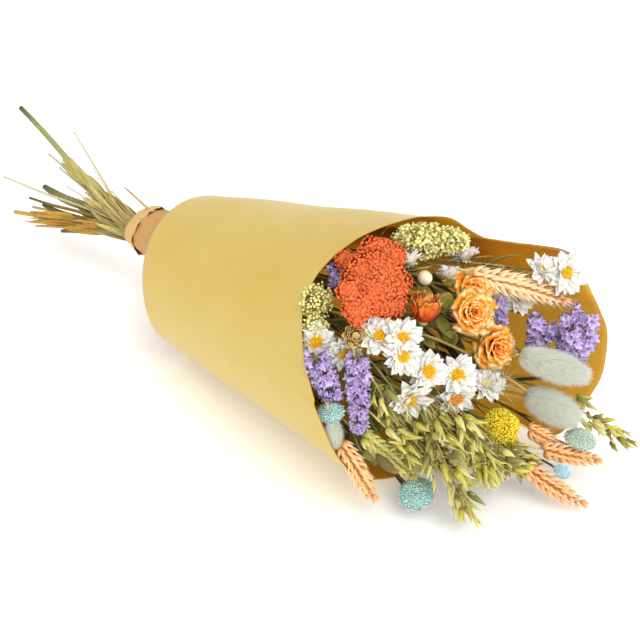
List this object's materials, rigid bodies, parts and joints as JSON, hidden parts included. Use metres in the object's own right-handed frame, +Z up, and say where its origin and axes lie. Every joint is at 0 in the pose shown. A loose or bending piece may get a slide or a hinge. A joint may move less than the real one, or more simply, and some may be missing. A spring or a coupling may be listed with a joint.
{
  "type": "mixed dried flower bouquet in a paper sleeve",
  "caption": "Bunch of mixed dried flowers with cut stems, lying on its side in a rolled kraft-paper sleeve that is open at both ends.",
  "frame": {"origin": "middle of the footprint, on the surface the sleeve lies on", "axes": "+Z up; +X along the bunch from the cut stems to the flower heads; +Y across it"},
  "size_m": [0.679, 0.2161, 0.1809],
  "materials": {
    "kraft_paper": "matte",
    "collar_paper": "matte",
    "twine": "matte",
    "coral_yarrow": "matte",
    "pale_buds": "matte",
    "paper_daisy": "satin",
    "cream_bud": "satin",
    "tan_strawflower": "satin",
    "dried_rose": "matte",
    "purple_statice": "matte",
    "peach_wheat": "matte",
    "mint_harestail": "matte",
    "green_oat": "matte",
    "yellow_globe_flower": "matte",
    "turquoise_button_flower": "matte"
  },
  "bodies": {
    "root": {"wrapper_sleeve": "kraft_paper", "stem_collar": "collar_paper", "binding_tie": "twine", "yarrow_coral_large": "coral_yarrow", "yarrow_coral_small": "coral_yarrow", "bud_spray_top": "pale_buds", "bud_spray_left": "pale_buds", "daisy_pair_left": "paper_daisy", "daisy_trio_upper": "paper_daisy", "daisy_mid_left": "paper_daisy", "daisy_centre": "paper_daisy", "daisy_half_open": "paper_daisy", "daisy_brown_centre": "paper_daisy", "daisy_front_pair": "paper_daisy", "daisy_top_right": "paper_daisy", "daisy_edge_on": "paper_daisy", "daisy_shaded_pair": "paper_daisy", "daisy_shaded_low": "paper_daisy", "bud_cream": "cream_bud", "strawflower_tan": "tan_strawflower", "rose_upper": "dried_rose", "rose_lower": "dried_rose", "rose_back": "dried_rose", "rose_bud": "dried_rose", "statice_left_low": "purple_statice", "statice_left_tall": "purple_statice", "statice_deep_left": "purple_statice", "statice_mid": "purple_statice", "statice_right_near": "purple_statice", "statice_right_far": "purple_statice", "wheat_top": "peach_wheat", "wheat_front_left": "peach_wheat", "wheat_right_a": "peach_wheat", "wheat_right_b": "peach_wheat", "wheat_right_c": "peach_wheat", "wheat_green": "green_oat", "harestail_upper": "mint_harestail", "harestail_lower": "mint_harestail", "harestail_small": "mint_harestail", "oat_left": "green_oat", "oat_front_left": "green_oat", "oat_front_long": "green_oat", "oat_centre": "green_oat", "oat_right_low": "green_oat", "oat_far_right": "green_oat", "yellow_globe": "yellow_globe_flower", "button_left": "turquoise_button_flower", "button_front": "turquoise_button_flower", "button_right": "turquoise_button_flower", "button_right_low": "turquoise_button_flower"}
  },
  "joints": []
}
